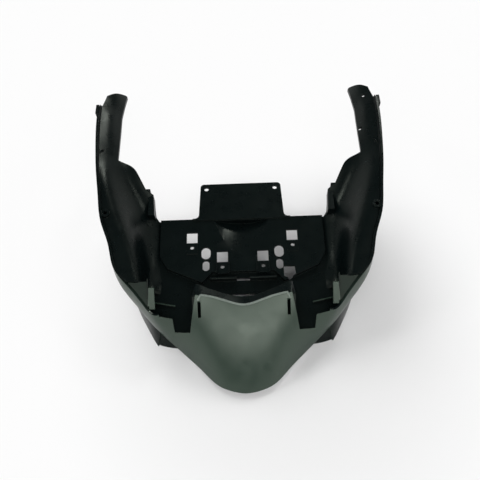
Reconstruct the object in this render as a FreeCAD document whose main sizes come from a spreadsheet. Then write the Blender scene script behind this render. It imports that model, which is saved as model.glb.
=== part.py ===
import FreeCAD, Part
import math
import os
import Sketcher
from FreeCAD import Placement, Rotation, Vector

doc = FreeCAD.newDocument("tail_light_panel")

# Driving sizes: millimetres, and degrees for the slope and the scoop's lean
DRIVING = {
    "half_width": 152,
    "length": 333,
    "rim_height": 90,
    "wall": 2.4,
    "fold_height": 38,
    "floor_slope": 5.3,
    "plate_rise": 5,
    "plate_corner": 9,
    "tab_width": 104,
    "tab_reach": 44,
    "tab_corner": 4,
    "tab_root": 4.5,
    "tab_hole": 4.9,
    "tab_hole_spacing": 75,
    "tab_hole_inset": 6.4,
    "window_across": 11.4,
    "window_along": 12.4,
    "upper_window_back": 22,
    "upper_window_spacing": 105,
    "lower_window_back": 44.5,
    "lower_window_spacing": 42,
    "seat_length": 12.5,
    "seat_rise": 0.8,
    "pilot_hole": 4.2,
    "pilot_step": 11.3,
    "oval_width": 9.6,
    "oval_length": 13.4,
    "oval_back": 39.9,
    "small_oval_width": 7.2,
    "small_oval_length": 11.4,
    "small_oval_back": 54,
    "oval_spacing": 76,
    "rail_back": 68.4,
    "rail_length": 67,
    "rail_thickness": 2.8,
    "rail_slot": 13.6,
    "rib": 1.2,
    "scoop_radius": 47,
    "scoop_depth": 9,
    "scoop_lean": 13.3,
    "shoulder_corner": 18,
    "chin_slot": 3,
    "boss_diameter": 9,
    "boss_height": 9,
    "arm_hole": 3.6,
    "lug_height": 12,
    "clip": 3.4,
}
sizes = doc.addObject("Spreadsheet::Sheet", "sizes")
for row, (word, value) in enumerate(DRIVING.items(), start=1):
    sizes.set(f"A{row}", word)
    sizes.set(f"B{row}", str(value))
    sizes.setAlias(f"B{row}", word)
doc.recompute()

# The outlines below are drawn at this size and stretch with the driving sizes
DRAWN_HALF_WIDTH = 152.0
DRAWN_LENGTH = 333.0
DRAWN_RIM_HEIGHT = 90.0

# Distance of the fold between the lamp plate and its tab from the nose
FOLD = 178.6

# How far a cutter stands clear of the face it starts from, and how tall one through the lamp plate is
CLEAR = 5
PLATE_CUT = 30

# Rows of points up the cover and the skirt
SHARES = (0, 1 / 3, 2 / 3, 1)


def spot(x, y, z):
    """Point of the drawing, stretched to the driving sizes."""
    return Vector(x * sizes.half_width / DRAWN_HALF_WIDTH,
                  y * sizes.length / DRAWN_LENGTH,
                  z * sizes.rim_height / DRAWN_RIM_HEIGHT)


def across(x):
    """Formula for a drawn X that follows the width."""
    return f"({x}) * sizes.half_width / {DRAWN_HALF_WIDTH}"


def along(y):
    """Formula for a drawn Y that follows the length."""
    return f"({y}) * sizes.length / {DRAWN_LENGTH}"


def up(z):
    """Formula for a drawn Z that follows the height."""
    return f"({z}) * sizes.rim_height / {DRAWN_RIM_HEIGHT}"


def bind(item, **formulas):
    """Tie properties of an object to the sheet."""
    for name, formula in formulas.items():
        item.setExpression(name, formula)
    return item


def place(item, x="0", y="0", z="0"):
    """Tie an object's position to the sheet."""
    item.setExpression("Placement.Base.x", x)
    item.setExpression("Placement.Base.y", y)
    item.setExpression("Placement.Base.z", z)
    return item


def mirrored(corners):
    """Corners of the right half, followed by the same ones on the left."""
    return corners + [(-x, y) for x, y in reversed(corners)]


def outline(name, corners, across=across, along=along):
    """Closed sketch whose corners follow the sheet."""
    sketch = doc.addObject("Sketcher::SketchObject", name)
    for start, end in zip(corners, corners[1:] + corners[:1]):
        sketch.addGeometry(Part.LineSegment(Vector(*start, 0), Vector(*end, 0)))
    for index, (x, y) in enumerate(corners):
        after = (index + 1) % len(corners)
        sketch.addConstraint(Sketcher.Constraint("Coincident", index, 2, after, 1))
        for kind, value, formula in (("DistanceX", x, across(x)), ("DistanceY", y, along(y))):
            tie = sketch.addConstraint(Sketcher.Constraint(kind, index, 1, value))
            sketch.setExpression(f"Constraints[{tie}]", formula)
    return sketch


def prism(name, sketch, height, bottom="0"):
    """Upright prism over an outline."""
    sketch.setExpression("Placement.Base.z", bottom)
    solid = doc.addObject("Part::Extrusion", name)
    solid.Base = sketch
    solid.DirMode = "Custom"
    solid.Dir = Vector(0, 0, 1)
    solid.Solid = True
    return bind(solid, LengthFwd=height)


def box(name, length, width, height, x="0", y="0", z="0"):
    """Box centred on x, with its front lower edge at y and z."""
    solid = doc.addObject("Part::Box", name)
    bind(solid, Length=length, Width=width, Height=height)
    return place(solid, f"({x}) - ({length}) / 2", y, z)


def window(name, length, width, x, y):
    """Cutter for an opening in the lamp plate, centred on x and y."""
    return box(name, length, width, f"{PLATE_CUT}", x, f"({y}) - ({width}) / 2", f"{CLEAR} - {PLATE_CUT}")


def rod(name, radius, height, x="0", y="0", z="0"):
    """Upright cylinder standing on a point."""
    solid = doc.addObject("Part::Cylinder", name)
    bind(solid, Radius=radius, Height=height)
    return place(solid, x, y, z)


def hole(name, diameter, depth, x, y, top="0"):
    """Cutter for a round hole going down from a face at the given height."""
    return rod(name, f"{diameter} / 2", f"{depth} + {CLEAR}", x, y, f"{top} - {depth}")


def fuse(name, parts):
    solid = doc.addObject("Part::MultiFuse", name)
    solid.Shapes = parts
    return solid


def cut(name, base, tool):
    solid = doc.addObject("Part::Cut", name)
    solid.Base = base
    solid.Tool = tool
    return solid


def flip(name, source):
    """The same thing on the other side of the middle plane."""
    twin = doc.addObject("Part::Mirroring", name)
    twin.Source = source
    twin.Normal = Vector(1, 0, 0)
    return twin


def round_corners(name, solid, radius, x, y):
    """Round the upright edges that stand nearest to a corner and to its twin."""
    doc.recompute()
    upright = [(number, edge.CenterOfMass) for number, edge in enumerate(solid.Shape.Edges, start=1)
               if edge.BoundBox.XLength + edge.BoundBox.YLength < 0.01]
    picked = []
    for corner_x in (x, -x):
        picked.append(min(upright, key=lambda edge: math.hypot(edge[1].x - corner_x, edge[1].y - y))[0])
    rounded = doc.addObject("Part::Fillet", name)
    rounded.Base = solid
    rounded.Edges = [(number, radius, radius) for number in picked]
    return rounded


def slab(name, corners, depth):
    """Flat piece between corner points, thickened along a direction."""
    solid = doc.addObject("Part::Feature", name)
    solid.Shape = Part.Face(Part.makePolygon(corners + corners[:1])).extrude(depth)
    return solid


def normals(grid):
    """Outward direction of a grid of surface points, at every point."""
    def step(points, at):
        return points[min(at + 1, len(points) - 1)].sub(points[max(at - 1, 0)])
    directions = []
    for column, points in enumerate(grid):
        line = []
        for at in range(len(points)):
            rise = step(points, at)
            run = step([other[at] for other in grid], column)
            line.append(run.cross(rise).normalize())
        directions.append(line)
    return directions


def shell(name, grid, directions, inner, outer):
    """Solid between two offsets of the smooth surface through a grid of points."""
    skins = []
    for offset in (outer, inner):
        surface = Part.BSplineSurface()
        surface.interpolate([[point + outward * offset for point, outward in zip(points, outwards)]
                             for points, outwards in zip(grid, directions)])
        skins.append(surface.toShape())
    sides = [Part.makeRuledSurface(*pair) for pair in zip(skins[0].Edges, skins[1].Edges)]
    closed = Part.makeShell(skins + sides)
    closed.sewShape()
    solid = doc.addObject("Part::Feature", name)
    solid.Shape = Part.makeSolid(closed)
    return solid


def both_sides(stations):
    """Stations from the left end over the nose to the right end."""
    left = [[(-x, y, z) for x, y, z in station] for station in reversed(stations[1:])]
    return left + stations


def between(low, high):
    """Evenly spaced points up a wall."""
    return [low + (high - low) * share for share in SHARES]


# Outer cover
# Each station of the right half: lower edge, rim and bulge, from the nose to the arm's end
COVER = [
    ((0, 0, 5), (0, 71, 52), 4.5),
    ((14, 2.3, 5.2), (14, 74, 53), 4.5),
    ((28, 8.6, 5.5), (27.5, 78.3, 54.4), 4.3),
    ((43, 23.3, 5), (42, 81.3, 55.6), 4),
    ((56, 36, 4.3), (56, 82, 55.5), 3),
    ((68, 47.3, 4), (70, 75.5, 50), 2),
    ((79, 56, 11), (84, 67.5, 43.5), 1),
    ((94, 69, 23), (98.5, 78.5, 46.5), 1),
    ((106, 82.5, 30), (107.5, 89, 52), 1),
    ((117, 94, 42), (116, 98, 57), 0.5),
    ((127.3, 112, 52), (126.5, 112, 63.5), 0),
    ((131, 132, 58.5), (131.2, 132, 70), 0),
    ((139, 156, 65.5), (139.5, 156, 77), 0),
    ((142.6, 182, 71.5), (143.3, 182, 83), 0),
    ((146.2, 210, 76), (147, 210, 87), 0),
    ((149.2, 240, 79), (150, 240, 89.3), 0),
    ((151.4, 270, 80.5), (152.3, 270, 90), 0),
    ((152, 300, 81), (152.8, 300, 90), 0),
    ((152, 330, 81), (152.7, 330, 90), 0),
    ((151.6, 360, 81), (152.3, 360, 90), 0),
]
TRIM_BELOW = Vector(0, 0, -30)
TRIM_ABOVE = 16
TRIM_OUT = 30
rim_pairs = both_sides([[low, rim] for low, rim, bulge in COVER])
right_bulges = [bulge for low, rim, bulge in COVER]
bulges = right_bulges[:0:-1] + right_bulges
flat_grid = [between(spot(*low), spot(*rim)) for low, rim in rim_pairs]
cover_grid = [[point + outward * bulge * 4 * share * (1 - share)
               for point, outward, share in zip(points, outwards, SHARES)]
              for points, outwards, bulge in zip(flat_grid, normals(flat_grid), bulges)]
cover_sheet = shell("cover_sheet", cover_grid, normals(cover_grid), -sizes.wall, 0)

# The space outside the cover, from the middle of its wall, trims the pieces that meet it from inside
outside_grid = [[points[0] + TRIM_BELOW] + points + [points[-1] + (points[-1] - points[-2]).normalize() * TRIM_ABOVE]
                for points in cover_grid]
outside = shell("outside", outside_grid, normals(outside_grid), -sizes.wall / 2, TRIM_OUT)

# Skirt under the right side: a front panel and a side panel that meet at the foot's corner
# Each station: the foot below the ground line, and the top inside the cover's wall
# The panels' outer faces lie a step inside these points
SKIRT_FRONT = [
    ((62, 46, -4), (64, 55, 15)),
    ((76, 47, -4), (74, 58, 17)),
    ((91.5, 52, -4), (85.8, 66.5, 25)),
]
SKIRT_SIDE = [
    ((90.3, 49.5, -4), (83.2, 62, 22.5)),
    ((96.8, 62, -4), (92, 69.5, 30)),
    ((103, 74, -4), (99.5, 78.4, 36)),
    ((109, 86, -4), (107, 88, 42)),
    ((113.5, 98, -4), (115, 98, 49)),
    ((117, 115, -4), (124.3, 113.2, 57)),
    ((119, 134, -4), (128.1, 132, 63)),
    ((120, 157, -4), (136.1, 156, 70)),
    ((121, 182, -4), (139.8, 182, 76)),
    ((122, 210, -4), (143.5, 210, 80.5)),
    ((123, 240, -4), (146.5, 240, 83.5)),
    ((123.5, 270, -4), (148.5, 270, 85)),
]
SKIRT_STEP = 0.7


def skirt_panel(name, stations):
    """Panel from below the ground line up into the cover's wall, set back under the cover's lower edge."""
    grid = [between(spot(*foot), spot(*top)) for foot, top in stations]
    return shell(name, grid, normals(grid), -SKIRT_STEP - sizes.wall, -SKIRT_STEP)


skirt_front = skirt_panel("skirt_front", SKIRT_FRONT)
skirt_side = skirt_panel("skirt_side", SKIRT_SIDE)
skirt = fuse("skirt", [skirt_front, skirt_side])
other_skirt = flip("other_skirt", skirt)

# The skirt is level with the ground and stops short of the arms
UNDERGROUND = 50
HEEL = [(207, -9), (207, 0), (242, 86), (400, 95), (400, -9)]
HEEL_SIDE = 200
underground = box("underground", "4 * sizes.half_width", "2 * sizes.length", f"{UNDERGROUND}", "0",
                  "-sizes.length / 4", f"-{UNDERGROUND}")
heel = slab("heel", [spot(-HEEL_SIDE, y, z) for y, z in HEEL], spot(2 * HEEL_SIDE, 0, 0))
skirts = cut("skirts", fuse("skirt_pair", [skirt, other_skirt]), fuse("skirt_cuts", [underground, heel]))

# Stepped notches beside the chin, and the slots inside its upper corners
NOTCH = [(46.6, 96), (46.6, 82), (53, 53.5), (69, 57.3), (70, 66), (82.5, 67), (83.5, 74), (83.5, 96)]
SLOT_X = 43
notch = prism("notch", outline("notch_outline", NOTCH), "sizes.rim_height")
slot = box("slot", "sizes.chin_slot", along(13), "sizes.rim_height", across(SLOT_X), along(63.5))
front_cuts = fuse("front_cuts", [notch, slot])
cover = cut("cover", cover_sheet, fuse("cover_cuts", [front_cuts, flip("other_front_cuts", front_cuts)]))

# Lamp plate, drawn flat: Y runs back from the fold line and Z up from the plate's top face
PLATE = [(86, 0), (86, -42), (78, -56), (42, -72), (32, -61)]
DISH = [(88, 0), (88, -79), (113, -79), (106.8, -91.5), (100, -101.5), (92.3, -110.5), (83.5, -116), (74, -122),
        (62, -126), (47, -128), (47, -84.2)]
dish_base = "-sizes.plate_rise - sizes.wall"
plate_outline = outline("plate_outline", mirrored(PLATE))
dish = prism("dish", outline("dish_outline", mirrored(DISH)), "sizes.wall", dish_base)
pedestal = prism("pedestal", plate_outline, "sizes.plate_rise + sizes.wall", dish_base)
plate_side, plate_bend = PLATE[1]
rounded_pedestal = round_corners("rounded_pedestal", pedestal, sizes.plate_corner, spot(plate_side, 0, 0).x,
                                 spot(0, plate_bend, 0).y)
inset = doc.addObject("Part::Offset2D", "pedestal_inset")
inset.Source = plate_outline
inset.Join = "Intersection"
bind(inset, Value="-sizes.wall")
hollow = doc.addObject("Part::Extrusion", "pedestal_hollow")
hollow.Base = inset
hollow.DirMode = "Custom"
hollow.Dir = Vector(0, 0, 1)
hollow.Solid = True
bind(hollow, LengthFwd="sizes.plate_rise", LengthRev="1")
tray = cut("tray", fuse("tray_solid", [dish, rounded_pedestal]), hollow)

# Scoop under the tab: a leaning trough with its own wall
BARREL_START = 15
BARREL_LENGTH = 75


def trough(name, radius, back, bottom, height):
    """Part of a leaning cylinder in front of a plane and between two heights."""
    barrel = doc.addObject("Part::Cylinder", name + "_barrel")
    bind(barrel, Radius=radius, Height=f"{BARREL_LENGTH}")
    barrel.Placement = Placement(Vector(), Rotation(Vector(1, 0, 0), 90 - sizes.scoop_lean))
    barrel.setExpression("Placement.Rotation.Angle", "(90 - sizes.scoop_lean) * 1 deg")
    place(barrel, "0", f"{BARREL_START} * cos(sizes.scoop_lean * 1 deg)",
          f"sizes.scoop_radius - sizes.scoop_depth - {BARREL_START} * sin(sizes.scoop_lean * 1 deg)")
    limit = box(name + "_limit", "2 * sizes.scoop_radius", f"{BARREL_LENGTH}", height, "0",
                f"{back} - {BARREL_LENGTH}", bottom)
    solid = doc.addObject("Part::Common", name)
    solid.Base = barrel
    solid.Tool = limit
    return solid


scoop_base = "-2 * sizes.scoop_depth"
scoop_wall = trough("scoop_wall", "sizes.scoop_radius + sizes.wall", "0", scoop_base,
                    "2 * sizes.scoop_depth - sizes.wall / 2")
scoop = trough("scoop", "sizes.scoop_radius", "-sizes.wall", scoop_base, f"2 * sizes.scoop_depth + {CLEAR}")

# Round-topped rail across the front of the plate, with a slot through the floor behind it
rail_front = "-sizes.rail_back - sizes.rail_thickness / 2"
rail = box("rail", "sizes.rail_length", "sizes.rail_thickness", "sizes.plate_rise + sizes.wall / 2", "0", rail_front,
           "-sizes.plate_rise - sizes.wall / 2")
rail_top = doc.addObject("Part::Cylinder", "rail_top")
bind(rail_top, Radius="sizes.rail_thickness / 2", Height="sizes.rail_length")
rail_top.Placement = Placement(Vector(), Rotation(Vector(0, 1, 0), 90))
place(rail_top, "-sizes.rail_length / 2", "-sizes.rail_back", "0")
rail_slot = window("rail_slot", "sizes.rail_slot", "sizes.rail_thickness", "0", "-sizes.rail_back")

# Windows, each with a screw seat in front of it, and the oval bulb openings between them
DISH_RIB = [(69, -94.6), (91, -90.4), (91, -91.6), (69, -95.8)]
raised = [scoop_wall, rail, rail_top]
cutters = [scoop, rail_slot]
for side, mark in ((1, "right"), (-1, "left")):
    for level in ("upper", "lower"):
        x = f"{side} * sizes.{level}_window_spacing / 2"
        middle = f"-sizes.{level}_window_back"
        seat_front = f"{middle} - sizes.window_along / 2 - sizes.seat_length"
        cutters.append(window(f"{level}_window_{mark}", "sizes.window_across", "sizes.window_along", x, middle))
        cutters.append(hole(f"{level}_pilot_{mark}", "sizes.pilot_hole", f"{PLATE_CUT}", x,
                            f"{middle} - sizes.pilot_step"))
        raised.append(box(f"{level}_seat_{mark}", "sizes.window_across", "sizes.seat_length", "2 * sizes.seat_rise",
                          x, seat_front, "-sizes.seat_rise"))
    for edge in (-1, 1):
        raised.append(box(f"seat_rib_{mark}_{'inner' if edge < 0 else 'outer'}", "sizes.rib", "sizes.seat_length",
                          "3 * sizes.rib", f"{x} + {edge} * (sizes.window_across + sizes.rib) / 2", seat_front,
                          "-sizes.rib"))
    rib_outline = outline(f"dish_rib_outline_{mark}", [(side * x, y) for x, y in DISH_RIB])
    raised.append(prism(f"dish_rib_{mark}", rib_outline, "2 * sizes.rib + sizes.wall / 2",
                        "-sizes.plate_rise - sizes.wall / 2"))
    for label in ("oval", "small_oval"):
        x = f"{side} * sizes.oval_spacing / 2"
        y = f"-sizes.{label}_back"
        straight = f"sizes.{label}_length - sizes.{label}_width"
        cutters.append(window(f"{label}_middle_{mark}", f"sizes.{label}_width", straight, x, y))
        for end, way in (("front", -1), ("back", 1)):
            cutters.append(hole(f"{label}_{end}_{mark}", f"sizes.{label}_width", f"{PLATE_CUT}", x,
                                f"{y} + {way} * ({straight}) / 2"))
SIDE_WINDOW = [(41.7, -57), (53, -57), (54, -65.5), (47.5, -70.6), (41.7, -68)]
cutters.append(prism("side_window", outline("side_window_outline", SIDE_WINDOW), f"{PLATE_CUT}",
                     f"{CLEAR} - {PLATE_CUT}"))
floor = cut("floor", fuse("floor_solid", [tray] + raised), fuse("floor_cuts", cutters))
floor.Placement = Placement(Vector(), Rotation(Vector(1, 0, 0), sizes.floor_slope))
floor.setExpression("Placement.Rotation.Angle", "sizes.floor_slope * 1 deg")
place(floor, "0", along(FOLD), "sizes.fold_height")

# Side bowls and arms
# Each station of the right side: distance back, lift of the foot above the dish, then X and Z of the wall's middle,
# its crest and its outer edge
BOWL = [
    (98, 0, (97, 40), (105, 57), (128, 57.5)),
    (118, 0, (99.5, 43.5), (110, 62.3), (135, 63)),
    (138, 0, (102.5, 46.5), (116, 68), (140, 68.5)),
    (160, 0, (107, 50), (124.4, 74), (148, 74.5)),
    (184, 1.5, (111, 53.5), (132.5, 79.5), (152, 80)),
    (208, 12, (114.5, 59.5), (138, 82.3), (155, 86)),
    (234, 25, (118, 67), (139, 79.5), (157, 93)),
    (262, 28, (119, 65), (139.5, 79.7), (159, 93.5)),
    (290, 28, (119, 63.5), (140, 79.4), (159.5, 94)),
    (318, 28, (119, 63), (140, 79.1), (159.5, 94)),
    (346, 28, (119, 63), (140, 79.1), (159.5, 94)),
]
BOWL_FOOT = 84
BOWL_HEEL = 91
BOWL_DOWN = Vector(0.5, 0, -0.87)


def bowl_rows(y, lift, middle, crest, edge):
    """Six points from the dish up to the arm's outer edge."""
    middle, crest, edge = (spot(x, y, z) for x, z in (middle, crest, edge))
    fall = math.tan(math.radians(sizes.floor_slope)) * (spot(0, FOLD, 0).y - crest.y)
    level = sizes.fold_height - sizes.plate_rise - fall
    foot = Vector(spot(BOWL_FOOT, 0, 0).x, crest.y, level - sizes.wall / 3 + spot(0, 0, lift).z)
    heel_point = Vector(spot(BOWL_HEEL, 0, 0).x, crest.y, level + 1.25 * sizes.wall + spot(0, 0, lift).z)
    return [foot, heel_point, middle, crest + (middle - crest) * 0.07, crest + (edge - crest) * 0.09, edge]


bowl_grid = [bowl_rows(*station) for station in BOWL]
bowl = shell("bowl", bowl_grid, [[BOWL_DOWN] * len(rows) for rows in bowl_grid], 0, 1.1 * sizes.wall)

# Wall that closes the front of the bowl, standing on the dish
END_WALL_FOOT = [(114.3, 47), (112.8, 12), (82, 12)]
END_WALL_BACK = Vector(0, 0.5, 0)
bowl_front = [point + BOWL_DOWN * sizes.wall / 2 for point in bowl_grid[0]]
wall_foot = [spot(x, BOWL[0][0], z) for x, z in END_WALL_FOOT]
end_wall = slab("end_wall", [point + END_WALL_BACK for point in bowl_front + wall_foot], Vector(0, sizes.wall, 0))

# Web between the chin and the dish, and the shelf that ties the bowl's front to the cover
WEB = [(50, 20), (106, 26), (106, 30), (82, 54), (60, 50)]
GUSSET = [(93, 99, 52), (130, 99, 52), (110, 60, 31.7), (93, 60, 31.7)]
web = slab("web", [spot(47.4, y, z) for y, z in WEB], Vector(sizes.wall, 0, 0))
gusset = slab("gusset", [spot(*corner) for corner in GUSSET], Vector(0, 0, sizes.wall))
right_side = fuse("right_side", [bowl, end_wall, web, gusset])
left_side = flip("left_side", right_side)

# Gap between the arms, with rounded shoulders
GAP = [(126.5, 360), (130.8, 297), (129.4, 235), (114, 231.5), (101.5, 209), (93.7, 204.5), (91.3, 183), (88, FOLD)]
gap = prism("gap", outline("gap_outline", mirrored(GAP)), "2 * sizes.rim_height")
shoulder = spot(*GAP[3], 0)
rounded_gap = round_corners("rounded_gap", gap, sizes.shoulder_corner, shoulder.x, shoulder.y)
inside = cut("inside", fuse("inside_solid", [floor, right_side, left_side]),
             fuse("inside_cuts", [outside, rounded_gap]))

# Shelf behind the chin's lip
# Each station: X, then Y and Z of the lip and of the shelf's free edge
SHELF = [
    (0, (71.5, 51), (82.3, 48)),
    (14, (74.5, 52), (84.5, 48.7)),
    (27, (78.6, 53.3), (88.5, 50)),
    (38, (81, 54.2), (92.7, 51)),
    (46.8, (82.3, 54.6), (96, 51)),
]
DOWN = Vector(0, 0, -1)
shelf_right = [[(x, *lip), (x, *edge)] for x, lip, edge in SHELF]
shelf_grid = [[spot(*point) for point in station] for station in both_sides(shelf_right)]
shelf = shell("shelf", shelf_grid, [[DOWN, DOWN]] * len(shelf_grid), 0, sizes.wall)

# Tab behind the plate, drawn back from the fold
DRAWN_TAB_WIDTH = 104.0
DRAWN_TAB_REACH = 44.0
TAB = [(52, -2), (52, 0), (45.6, 0), (43.8, 44)]


def tab_across(x):
    return f"({x}) * sizes.tab_width / {DRAWN_TAB_WIDTH}"


def tab_along(y):
    return f"({y}) * sizes.tab_reach / {DRAWN_TAB_REACH} + " + along(FOLD)


tab_outline = outline("tab_outline", mirrored(TAB), tab_across, tab_along)
tab = prism("tab", tab_outline, "sizes.wall", "sizes.fold_height - 0.4 * sizes.wall")
tab_scale = sizes.tab_width / DRAWN_TAB_WIDTH
fold_line = spot(0, FOLD, 0).y
rooted_tab = round_corners("rooted_tab", tab, sizes.tab_root, TAB[2][0] * tab_scale, fold_line)
rounded_tab = round_corners("rounded_tab", rooted_tab, sizes.tab_corner, TAB[3][0] * tab_scale,
                            fold_line + sizes.tab_reach)

# Screw boss on the side ledge, tongue, fin, clip, pocket behind the chin's slot, and lug at the shoulder
BOSS = (135.4, 164.8)
BOSS_BASE = 69.5
TONGUE = [(86.4, 74, 43), (92, 74, 43), (92, 91, 56), (86.4, 91, 56)]
TONGUE_DOWN = Vector(0, 0.54, -0.84)
FIN = [(76.5, 45), (99, 60), (99, 49), (79, 34)]
LUG = [(91.3, 179), (93.7, 204.5), (97.2, 204.8), (97.7, 212.5), (103.5, 212.5), (103.5, 206), (98.5, 198),
       (98.5, 179)]
boss = rod("boss", "sizes.boss_diameter / 2", "sizes.boss_height", across(BOSS[0]), along(BOSS[1]), up(BOSS_BASE))
tongue = slab("tongue", [spot(*corner) for corner in TONGUE], TONGUE_DOWN * sizes.wall)
fin = slab("fin", [spot(92, y, z) for y, z in FIN], Vector(sizes.rib, 0, 0))
clip = box("clip", "sizes.clip", "3.5 * sizes.clip", "1.7 * sizes.clip", across(153.3), along(287), up(84))
pocket = box("pocket", across(11.5), along(27), "sizes.wall", across(SLOT_X), along(65), up(34.2))
lug = prism("lug", outline("lug_outline", LUG), "sizes.lug_height", "sizes.fold_height - 1")
fittings = fuse("fittings", [boss, tongue, fin, clip, pocket, lug])
other_fittings = flip("other_fittings", fittings)

# Cut-back arm ends and drilled holes
ARM_END = [(190, 296), (151, 296), (146.5, 318.5), (129.5, 333), (90, 333), (90, 440), (190, 440)]
ARM_HOLES = {"near": (132.6, 266), "far": (141, 309)}
arm_end = prism("arm_end", outline("arm_end_outline", ARM_END), "2 * sizes.rim_height")
arm_ends = fuse("arm_ends", [arm_end, flip("other_arm_end", arm_end)])
drills = []
for side, mark in ((1, "right"), (-1, "left")):
    drills.append(hole(f"tab_hole_{mark}", "sizes.tab_hole", "4 * sizes.wall",
                       f"{side} * sizes.tab_hole_spacing / 2",
                       along(FOLD) + " + sizes.tab_reach - sizes.tab_hole_inset", "sizes.fold_height"))
    drills.append(hole(f"boss_hole_{mark}", "sizes.pilot_hole", "sizes.boss_height + sizes.wall",
                       across(side * BOSS[0]), along(BOSS[1]), up(BOSS_BASE) + " + sizes.boss_height"))
for label, (x, y) in ARM_HOLES.items():
    drills.append(hole(f"arm_hole_{label}", "sizes.arm_hole", "sizes.rim_height / 3", across(x), along(y),
                       "sizes.rim_height"))

# The whole moulding, centred on its length
trimmed = cut("trimmed", fuse("moulding", [cover, skirts, inside, shelf, rounded_tab]), arm_ends)
whole = fuse("whole", [trimmed, fittings, other_fittings])
panel = cut("panel", whole, fuse("drills", drills))
panel.Label = "tail_light_panel"
place(panel, "0", "-sizes.length / 2", "0")
doc.recompute()

for item in doc.Objects:
    if "Invalid" in item.State or "Error" in item.State:
        raise RuntimeError(f"{item.Name} is not built: {item.State}")
if panel.Shape.isNull() or not panel.Shape.isValid() or len(panel.Shape.Solids) != 1:
    raise RuntimeError("The panel is not one valid solid")
os.makedirs("parts", exist_ok=True)
panel.Shape.exportStep(f"parts/{panel.Label}.step")
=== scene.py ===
import math

import bmesh
import bpy
from mathutils import Matrix, Vector


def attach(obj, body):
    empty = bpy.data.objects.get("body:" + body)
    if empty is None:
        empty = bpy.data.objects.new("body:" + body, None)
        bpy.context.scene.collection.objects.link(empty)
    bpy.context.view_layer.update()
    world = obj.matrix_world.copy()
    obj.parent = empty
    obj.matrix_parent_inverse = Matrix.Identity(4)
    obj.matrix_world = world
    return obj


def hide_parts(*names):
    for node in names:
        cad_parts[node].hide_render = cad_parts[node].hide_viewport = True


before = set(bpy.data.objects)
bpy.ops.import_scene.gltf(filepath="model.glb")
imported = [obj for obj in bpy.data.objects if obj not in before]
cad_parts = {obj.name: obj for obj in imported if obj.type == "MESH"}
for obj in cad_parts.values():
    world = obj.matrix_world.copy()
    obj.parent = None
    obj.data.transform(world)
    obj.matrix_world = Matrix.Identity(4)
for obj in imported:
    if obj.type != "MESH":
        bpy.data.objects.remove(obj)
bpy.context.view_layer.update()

MM = 0.001

# Camera of the photograph, in the panel's own frame
CAMERA_EYE = Vector((3.964, -307.673, 544.373)) * MM
CAMERA_AXES = (
    (0.99937103, 0.03480258, 0.00680657),
    (-0.02674032, 0.86563923, -0.49995367),
    (-0.02329171, 0.4994572, 0.8660254),
)
CAMERA_LENS = 42.0
SENSOR = 36.0
FRAME_SHIFT = -2.1 / 480


def add_camera():
    """Camera at the photograph's place and angle."""
    data = bpy.data.cameras.new("camera")
    data.lens = CAMERA_LENS
    data.sensor_width = SENSOR
    data.shift_x = FRAME_SHIFT
    camera = bpy.data.objects.new("camera", data)
    camera.matrix_world = Matrix.Translation(CAMERA_EYE) @ Matrix(CAMERA_AXES).to_4x4()
    bpy.context.scene.collection.objects.link(camera)
    bpy.context.scene.camera = camera


class Nodes:
    """Small helper that adds and links the nodes of one material."""

    def __init__(self, name):
        self.material = bpy.data.materials.new(name)
        self.material.use_nodes = True
        self.tree = self.material.node_tree
        self.tree.nodes.clear()
        self.output = self.add("ShaderNodeOutputMaterial")

    def add(self, kind, **settings):
        node = self.tree.nodes.new(kind)
        for name, value in settings.items():
            setattr(node, name, value)
        return node

    def link(self, source, target):
        self.tree.links.new(source, target)

    def values(self, node, **sockets):
        for name, value in sockets.items():
            node.inputs[name.replace("_", " ")].default_value = value
        return node


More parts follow.
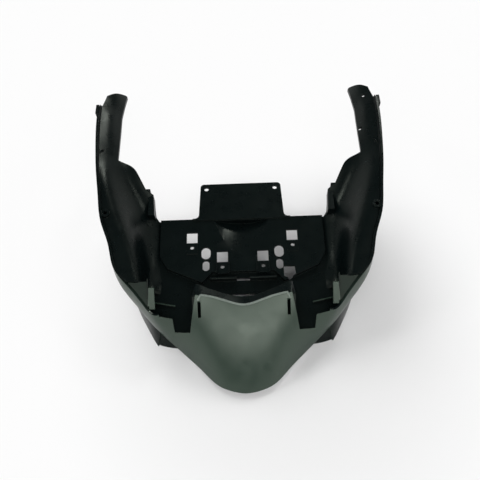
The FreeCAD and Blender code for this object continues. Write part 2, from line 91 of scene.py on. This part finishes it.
def moulded_plastic(name, dark, light, roughness, grain_size, grain_depth, wave_depth, specular):
    """Moulded plastic with fine grain, slow flow marks and rounded edges."""
    kit = Nodes(name)
    place = kit.add("ShaderNodeTexCoord")
    shader = kit.add("ShaderNodeBsdfPrincipled")
    kit.values(shader, Specular_IOR_Level=specular, Specular_Tint=(0.9, 1.0, 0.87, 1), IOR=1.5)

    cloud = kit.values(kit.add("ShaderNodeTexNoise"), Scale=22.0, Detail=5.0, Roughness=0.6)
    kit.link(place.outputs["Object"], cloud.inputs["Vector"])
    tint = kit.add("ShaderNodeValToRGB")
    tint.color_ramp.elements[0].position = 0.3
    tint.color_ramp.elements[0].color = (*dark, 1)
    tint.color_ramp.elements[1].position = 0.72
    tint.color_ramp.elements[1].color = (*light, 1)
    kit.link(cloud.outputs["Fac"], tint.inputs["Fac"])
    kit.link(tint.outputs["Color"], shader.inputs["Base Color"])

    sheen = kit.values(kit.add("ShaderNodeTexNoise"), Scale=90.0, Detail=3.0, Roughness=0.55)
    kit.link(place.outputs["Object"], sheen.inputs["Vector"])
    gloss = kit.add("ShaderNodeMapRange")
    kit.values(gloss, From_Min=0.3, From_Max=0.7, To_Min=roughness - 0.05, To_Max=roughness + 0.05)
    kit.link(sheen.outputs["Fac"], gloss.inputs["Value"])
    kit.link(gloss.outputs["Result"], shader.inputs["Roughness"])

    edge = kit.add("ShaderNodeBevel", samples=6)
    kit.values(edge, Radius=0.7 * MM)
    wave = kit.values(kit.add("ShaderNodeTexNoise"), Scale=35.0, Detail=1.0)
    kit.link(place.outputs["Object"], wave.inputs["Vector"])
    slow = kit.add("ShaderNodeBump")
    kit.values(slow, Strength=1.0, Distance=wave_depth)
    kit.link(wave.outputs["Fac"], slow.inputs["Height"])
    kit.link(edge.outputs["Normal"], slow.inputs["Normal"])
    grain = kit.values(kit.add("ShaderNodeTexVoronoi"), Scale=1.0 / grain_size)
    kit.link(place.outputs["Object"], grain.inputs["Vector"])
    fine = kit.add("ShaderNodeBump")
    kit.values(fine, Strength=1.0, Distance=grain_depth)
    kit.link(grain.outputs["Distance"], fine.inputs["Height"])
    kit.link(slow.outputs["Normal"], fine.inputs["Normal"])
    kit.link(fine.outputs["Normal"], shader.inputs["Normal"])
    kit.link(shader.outputs["BSDF"], kit.output.inputs["Surface"])
    return kit.material


# Places of the finishes and of the painted light and shade on the skin, and the boxes of the right-hand
# features that get them
OUTSIDE, INSIDE, PAINTED_HALF_LIGHT = range(3)
SMOOTH_ANGLE = math.radians(28)
# Patches split at a tighter angle than the shading, so the skirts below the cover's edge come apart from
# it and get the dark inside plastic: painted shade under the cover's edge
PATCH_ANGLE = math.radians(20)
RIM_WIDTH = 3.2 * MM
CHIN_MIDDLE = Vector((0, -130, 34)) * MM
FRONT_RIM_END = -70 * MM
# Thin rims along the flanks beyond this get the half-light band, a painted shade over their grazing
# reflection
FLANK_START = 85 * MM
TONGUE_LOW = Vector((86, -94, 38)) * MM
TONGUE_HIGH = Vector((92.5, -74, 60)) * MM
# The gussets' upward faces get the half-light band: painted light on their tops
GUSSET_LOW = Vector((92.9, -106, 32)) * MM
GUSSET_HIGH = Vector((120, -68.6, 58)) * MM
# The rib's narrow top faces get the outside satin: a painted glint along the rib
RIB_WIDTH = 1.5 * MM
RIB_LOW = Vector((68, -94, 20)) * MM
RIB_HIGH = Vector((92, -70, 38)) * MM
LIP_LOW = Vector((-46.3, -100, 47)) * MM
LIP_HIGH = Vector((46.3, -80, 60)) * MM
BEAD_STEP = 3 * MM


def within(point, low, high):
    """Whether a point lies in a box."""
    return all(a <= value <= b for value, a, b in zip(point, low, high))


def smooth_patches(mesh):
    """Faces grouped into patches that meet without a sharp edge."""
    patch_of = {}
    patches = []
    for start in mesh.faces:
        if start in patch_of:
            continue
        number = len(patches)
        patch_of[start] = number
        members, queue = [], [start]
        while queue:
            face = queue.pop()
            members.append(face)
            for edge in face.edges:
                if not edge.smooth or edge.calc_face_angle(0.0) > PATCH_ANGLE:
                    continue
                for other in edge.link_faces:
                    if other not in patch_of:
                        patch_of[other] = number
                        queue.append(other)
        patches.append(members)
    return patches, patch_of


def patch_width(members, patch_of, number):
    """Mean width of a patch, from its area and the length of its border."""
    area = sum(face.calc_area() for face in members)
    border = sum(edge.calc_length() for face in members for edge in face.edges
                 if any(patch_of[other] != number for other in edge.link_faces))
    return 2 * area / border if border else 1.0


def make_skin(node, outside, inside, half_light):
    """Smooth-shaded copy of the moulding in its finishes and its painted light and shade, and the points
    of the chin's lip.
    """
    mesh = bmesh.new()
    mesh.from_mesh(node.data)
    bmesh.ops.remove_doubles(mesh, verts=mesh.verts, dist=0.002 * MM)
    bmesh.ops.dissolve_degenerate(mesh, edges=mesh.edges, dist=0.002 * MM)
    for face in mesh.faces:
        face.smooth = True
    for edge in mesh.edges:
        edge.smooth = len(edge.link_faces) == 2 and edge.calc_face_angle(0.0) < SMOOTH_ANGLE
    patches, patch_of = smooth_patches(mesh)
    seed = min(mesh.faces, key=lambda face: (face.calc_center_median() - CHIN_MIDDLE).length)
    outer = patch_of[seed]
    satin = {outer}
    border = {edge for face in patches[outer] for edge in face.edges
              if any(patch_of[other] != outer for other in edge.link_faces)}
    for edge in border:
        edge.smooth = False
        for face in edge.link_faces:
            number = patch_of[face]
            thin = patch_width(patches[number], patch_of, number) < RIM_WIDTH
            if number not in satin and thin and face.calc_center_median().y < FRONT_RIM_END:
                satin.add(number)
    for number, members in enumerate(patches):
        narrow = patch_width(members, patch_of, number) < RIB_WIDTH
        for face in members:
            middle = face.calc_center_median()
            on_right = (abs(middle.x), middle.y, middle.z)
            tongue = within(on_right, TONGUE_LOW, TONGUE_HIGH)
            painted_gusset_light = within(on_right, GUSSET_LOW, GUSSET_HIGH) and face.normal.z > 0.5
            painted_rib_glint = narrow and face.normal.z > 0.9 and within(on_right, RIB_LOW, RIB_HIGH)
            painted_flank_shade = number in satin and number != outer and abs(middle.x) > FLANK_START
            # Painted light and shade: the gussets' tops and the flank rims take the half-light band, and
            # the rib tops take the satin as a painted glint
            if painted_gusset_light or painted_flank_shade:
                face.material_index = PAINTED_HALF_LIGHT
            elif number in satin or tongue or painted_rib_glint:
                face.material_index = OUTSIDE
            else:
                face.material_index = INSIDE
    lip = {}
    for vert in {vert for edge in border for vert in edge.verts if within(vert.co, LIP_LOW, LIP_HIGH)}:
        step = round(vert.co.x / BEAD_STEP)
        if step not in lip or vert.co.y > lip[step].y:
            lip[step] = vert.co.copy()
    data = bpy.data.meshes.new("panel_skin")
    mesh.to_mesh(data)
    mesh.free()
    for finish in (outside, inside, half_light):
        data.materials.append(finish)
    skin = bpy.data.objects.new("panel_skin", data)
    bpy.context.scene.collection.objects.link(skin)
    return skin, [lip[step] for step in sorted(lip)]


BEAD_RADIUS = 1.15 * MM
BEAD_INSET = Vector((0, 1.0, -0.25)) * MM


def bead_tree():
    """Geometry nodes that run a round bead along a path of edges."""
    tree = bpy.data.node_groups.new("lip_bead", "GeometryNodeTree")
    sockets = tree.interface
    sockets.new_socket("Geometry", in_out="INPUT", socket_type="NodeSocketGeometry")
    sockets.new_socket("Bead Radius", in_out="INPUT", socket_type="NodeSocketFloat")
    sockets.new_socket("Step", in_out="INPUT", socket_type="NodeSocketFloat")
    sockets.new_socket("Finish", in_out="INPUT", socket_type="NodeSocketMaterial")
    sockets.new_socket("Geometry", in_out="OUTPUT", socket_type="NodeSocketGeometry")

    def add(kind):
        return tree.nodes.new(kind)

    def link(source, target):
        tree.links.new(source, target)

    entry = add("NodeGroupInput")
    path = add("GeometryNodeMeshToCurve")
    even = add("GeometryNodeResampleCurve")
    even.mode = "LENGTH"
    ring = add("GeometryNodeCurvePrimitiveCircle")
    ring.inputs["Resolution"].default_value = 14
    sweep = add("GeometryNodeCurveToMesh")
    sweep.inputs["Fill Caps"].default_value = True
    smooth = add("GeometryNodeSetShadeSmooth")
    real = add("GeometryNodeRealizeInstances")
    finish = add("GeometryNodeSetMaterial")
    leave = add("NodeGroupOutput")
    link(entry.outputs["Geometry"], path.inputs["Mesh"])
    link(path.outputs["Curve"], even.inputs["Curve"])
    link(entry.outputs["Step"], even.inputs["Length"])
    link(entry.outputs["Bead Radius"], ring.inputs["Radius"])
    link(even.outputs["Curve"], sweep.inputs["Curve"])
    link(ring.outputs["Curve"], sweep.inputs["Profile Curve"])
    link(sweep.outputs["Mesh"], smooth.inputs["Geometry"])
    link(smooth.outputs["Geometry"], real.inputs["Geometry"])
    link(real.outputs["Geometry"], finish.inputs["Geometry"])
    link(entry.outputs["Finish"], finish.inputs["Material"])
    link(finish.outputs["Geometry"], leave.inputs["Geometry"])
    return tree


def add_lip_bead(lip, finish):
    """Rounded bead along the chin's upper lip."""
    points = [point + BEAD_INSET for point in lip]
    path = bpy.data.meshes.new("lip_path")
    path.from_pydata(points, [(k, k + 1) for k in range(len(points) - 1)], [])
    carrier = bpy.data.objects.new("lip_carrier", path)
    bpy.context.scene.collection.objects.link(carrier)
    tree = bead_tree()
    modifier = carrier.modifiers.new("lip_bead", "NODES")
    modifier.node_group = tree
    settings = {"Bead Radius": BEAD_RADIUS, "Step": BEAD_STEP, "Finish": finish}
    for item in tree.interface.items_tree:
        if item.in_out == "INPUT" and item.name in settings:
            modifier[item.identifier] = settings[item.name]
    bpy.context.view_layer.update()
    shaped = carrier.evaluated_get(bpy.context.evaluated_depsgraph_get())
    mesh = bpy.data.meshes.new_from_object(shaped)
    bpy.data.objects.remove(carrier)
    mesh.name = "lip_bead"
    bead = bpy.data.objects.new("lip_bead", mesh)
    bpy.context.scene.collection.objects.link(bead)
    return bead


FLOOR_RADIUS = 2.4
WALL_RADIUS = 1.0
FLOOR_STEPS = 96
WALL_STEPS = 10
SHADOW_MIDDLE = (0.05, -0.12, 0.0)
SHADOW_NEAR = 0.08
SHADOW_FAR = 0.26
FAR_LIFT = 0.85


def add_floor():
    """Pale studio floor that curves up into a wall all round."""
    profile = [(FLOOR_RADIUS, 0.0)]
    for step in range(1, WALL_STEPS + 1):
        angle = math.pi / 2 * step / WALL_STEPS
        profile.append((FLOOR_RADIUS + WALL_RADIUS * math.sin(angle), WALL_RADIUS * (1 - math.cos(angle))))
    mesh = bmesh.new()
    rings = []
    for radius, height in profile:
        rings.append([mesh.verts.new((radius * math.cos(2 * math.pi * k / FLOOR_STEPS),
                                      radius * math.sin(2 * math.pi * k / FLOOR_STEPS), height))
                      for k in range(FLOOR_STEPS)])
    mesh.faces.new(rings[0])
    for low, high in zip(rings, rings[1:]):
        for k in range(FLOOR_STEPS):
            after = (k + 1) % FLOOR_STEPS
            mesh.faces.new((low[k], low[after], high[after], high[k]))
    for face in mesh.faces:
        face.smooth = len(face.verts) == 4
    bmesh.ops.recalc_face_normals(mesh, faces=mesh.faces)
    data = bpy.data.meshes.new("studio_floor")
    mesh.to_mesh(data)
    mesh.free()
    floor = bpy.data.objects.new("studio_floor", data)
    bpy.context.scene.collection.objects.link(floor)

    kit = Nodes("studio_paper")
    paper = kit.values(kit.add("ShaderNodeBsdfDiffuse"), Color=(0.75, 0.75, 0.75, 1))
    glow = kit.values(kit.add("ShaderNodeEmission"), Color=(1, 1, 1, 1), Strength=1.0)
    path = kit.add("ShaderNodeLightPath")
    seen = kit.add("ShaderNodeMath", operation="MAXIMUM")
    seen_too = kit.add("ShaderNodeMath", operation="MAXIMUM")
    share = kit.add("ShaderNodeMath", operation="MULTIPLY")
    # Painted light: for camera, glossy and transmission rays the floor glows white, from none near the
    # panel up to FAR_LIFT far off, so the far floor is whitened while near the panel it shows the lamps'
    # shadow
    place = kit.add("ShaderNodeTexCoord")
    reach = kit.add("ShaderNodeVectorMath", operation="DISTANCE")
    reach.inputs[1].default_value = SHADOW_MIDDLE
    kit.link(place.outputs["Object"], reach.inputs[0])
    lift = kit.add("ShaderNodeMapRange", interpolation_type="SMOOTHSTEP")
    kit.values(lift, From_Min=SHADOW_NEAR, From_Max=SHADOW_FAR, To_Min=0.0, To_Max=FAR_LIFT)
    kit.link(reach.outputs["Value"], lift.inputs["Value"])
    kit.link(lift.outputs["Result"], share.inputs[1])
    kit.link(path.outputs["Is Camera Ray"], seen.inputs[0])
    kit.link(path.outputs["Is Glossy Ray"], seen.inputs[1])
    kit.link(seen.outputs[0], seen_too.inputs[0])
    kit.link(path.outputs["Is Transmission Ray"], seen_too.inputs[1])
    kit.link(seen_too.outputs[0], share.inputs[0])
    mix = kit.add("ShaderNodeMixShader")
    kit.link(share.outputs[0], mix.inputs["Fac"])
    kit.link(paper.outputs["BSDF"], mix.inputs[1])
    kit.link(glow.outputs["Emission"], mix.inputs[2])
    kit.link(mix.outputs["Shader"], kit.output.inputs["Surface"])
    data.materials.append(kit.material)


def add_sun(name, strength, spread, towards):
    """Soft lamp shining from a direction, given as the way to the lamp."""
    data = bpy.data.lights.new(name, "SUN")
    data.energy = strength
    data.angle = math.radians(spread)
    lamp = bpy.data.objects.new(name, data)
    lamp.rotation_mode = "QUATERNION"
    lamp.rotation_quaternion = Vector(towards).to_track_quat("Z", "Y")
    bpy.context.scene.collection.objects.link(lamp)
    return lamp


def light_studio():
    """Four lamps in a row in front, two behind, one at each side, and an even fill."""
    add_sun("far_left_lamp", 0.29, 34, (-0.62, -0.45, 0.64))
    add_sun("front_left_lamp", 0.61, 34, (-0.2, -0.56, 0.8))
    add_sun("front_right_lamp", 0.69, 34, (0.24, -0.55, 0.8))
    add_sun("far_right_lamp", 0.34, 34, (0.62, -0.45, 0.64))
    shadow_lamp = add_sun("shadow_lamp", 1.52, 34, (-0.42, 0.7, 0.58))
    # It darkens the floor in front of the panel and gives no glint on the scoop
    shadow_lamp.visible_glossy = False
    add_sun("scoop_lamp", 0.84, 13, (0.38, 0.72, 0.58))
    add_sun("left_shoulder_lamp", 0.26, 9, (0.83, 0.17, 0.52))
    add_sun("right_shoulder_lamp", 0.38, 9, (-0.83, 0.17, 0.52))
    world = bpy.data.worlds.new("studio")
    world.use_nodes = True
    background = world.node_tree.nodes["Background"]
    background.inputs["Color"].default_value = (1, 1, 1, 1)
    background.inputs["Strength"].default_value = 0.13
    bpy.context.scene.world = world


add_camera()
outside = moulded_plastic("satin_outside", (0.010, 0.024, 0.016), (0.015, 0.031, 0.022), 0.33,
                          0.5 * MM, 0.004 * MM, 0.02 * MM, 0.73)
inside = moulded_plastic("grained_inside", (0.0015, 0.0032, 0.0033), (0.0027, 0.005, 0.0051), 0.3,
                         0.8 * MM, 0.006 * MM, 0.02 * MM, 0.15)
# Half-light band: the same plastic in a tone between the inside and the satin, painted light on the
# gussets' tops and painted shade on the flank rims
half_light = moulded_plastic("painted_half_light", (0.004, 0.0095, 0.007), (0.0065, 0.0135, 0.0105), 0.33,
                       0.6 * MM, 0.005 * MM, 0.02 * MM, 0.17)
skin, lip = make_skin(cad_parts["tail_light_panel"], outside, inside, half_light)
# The bead's light colour is a painted highlight along the chin's lip
lip_highlight = moulded_plastic("painted_lip_highlight", (0.125, 0.15, 0.132), (0.16, 0.187, 0.17), 0.3,
                         0.5 * MM, 0.003 * MM, 0.01 * MM, 0.8)
bead = add_lip_bead(lip, lip_highlight)
for piece in (skin, bead):
    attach(piece, "root")
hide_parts("tail_light_panel")
add_floor()
light_studio()
bpy.context.scene.view_settings.view_transform = "Standard"

bpy.context.view_layer.update()
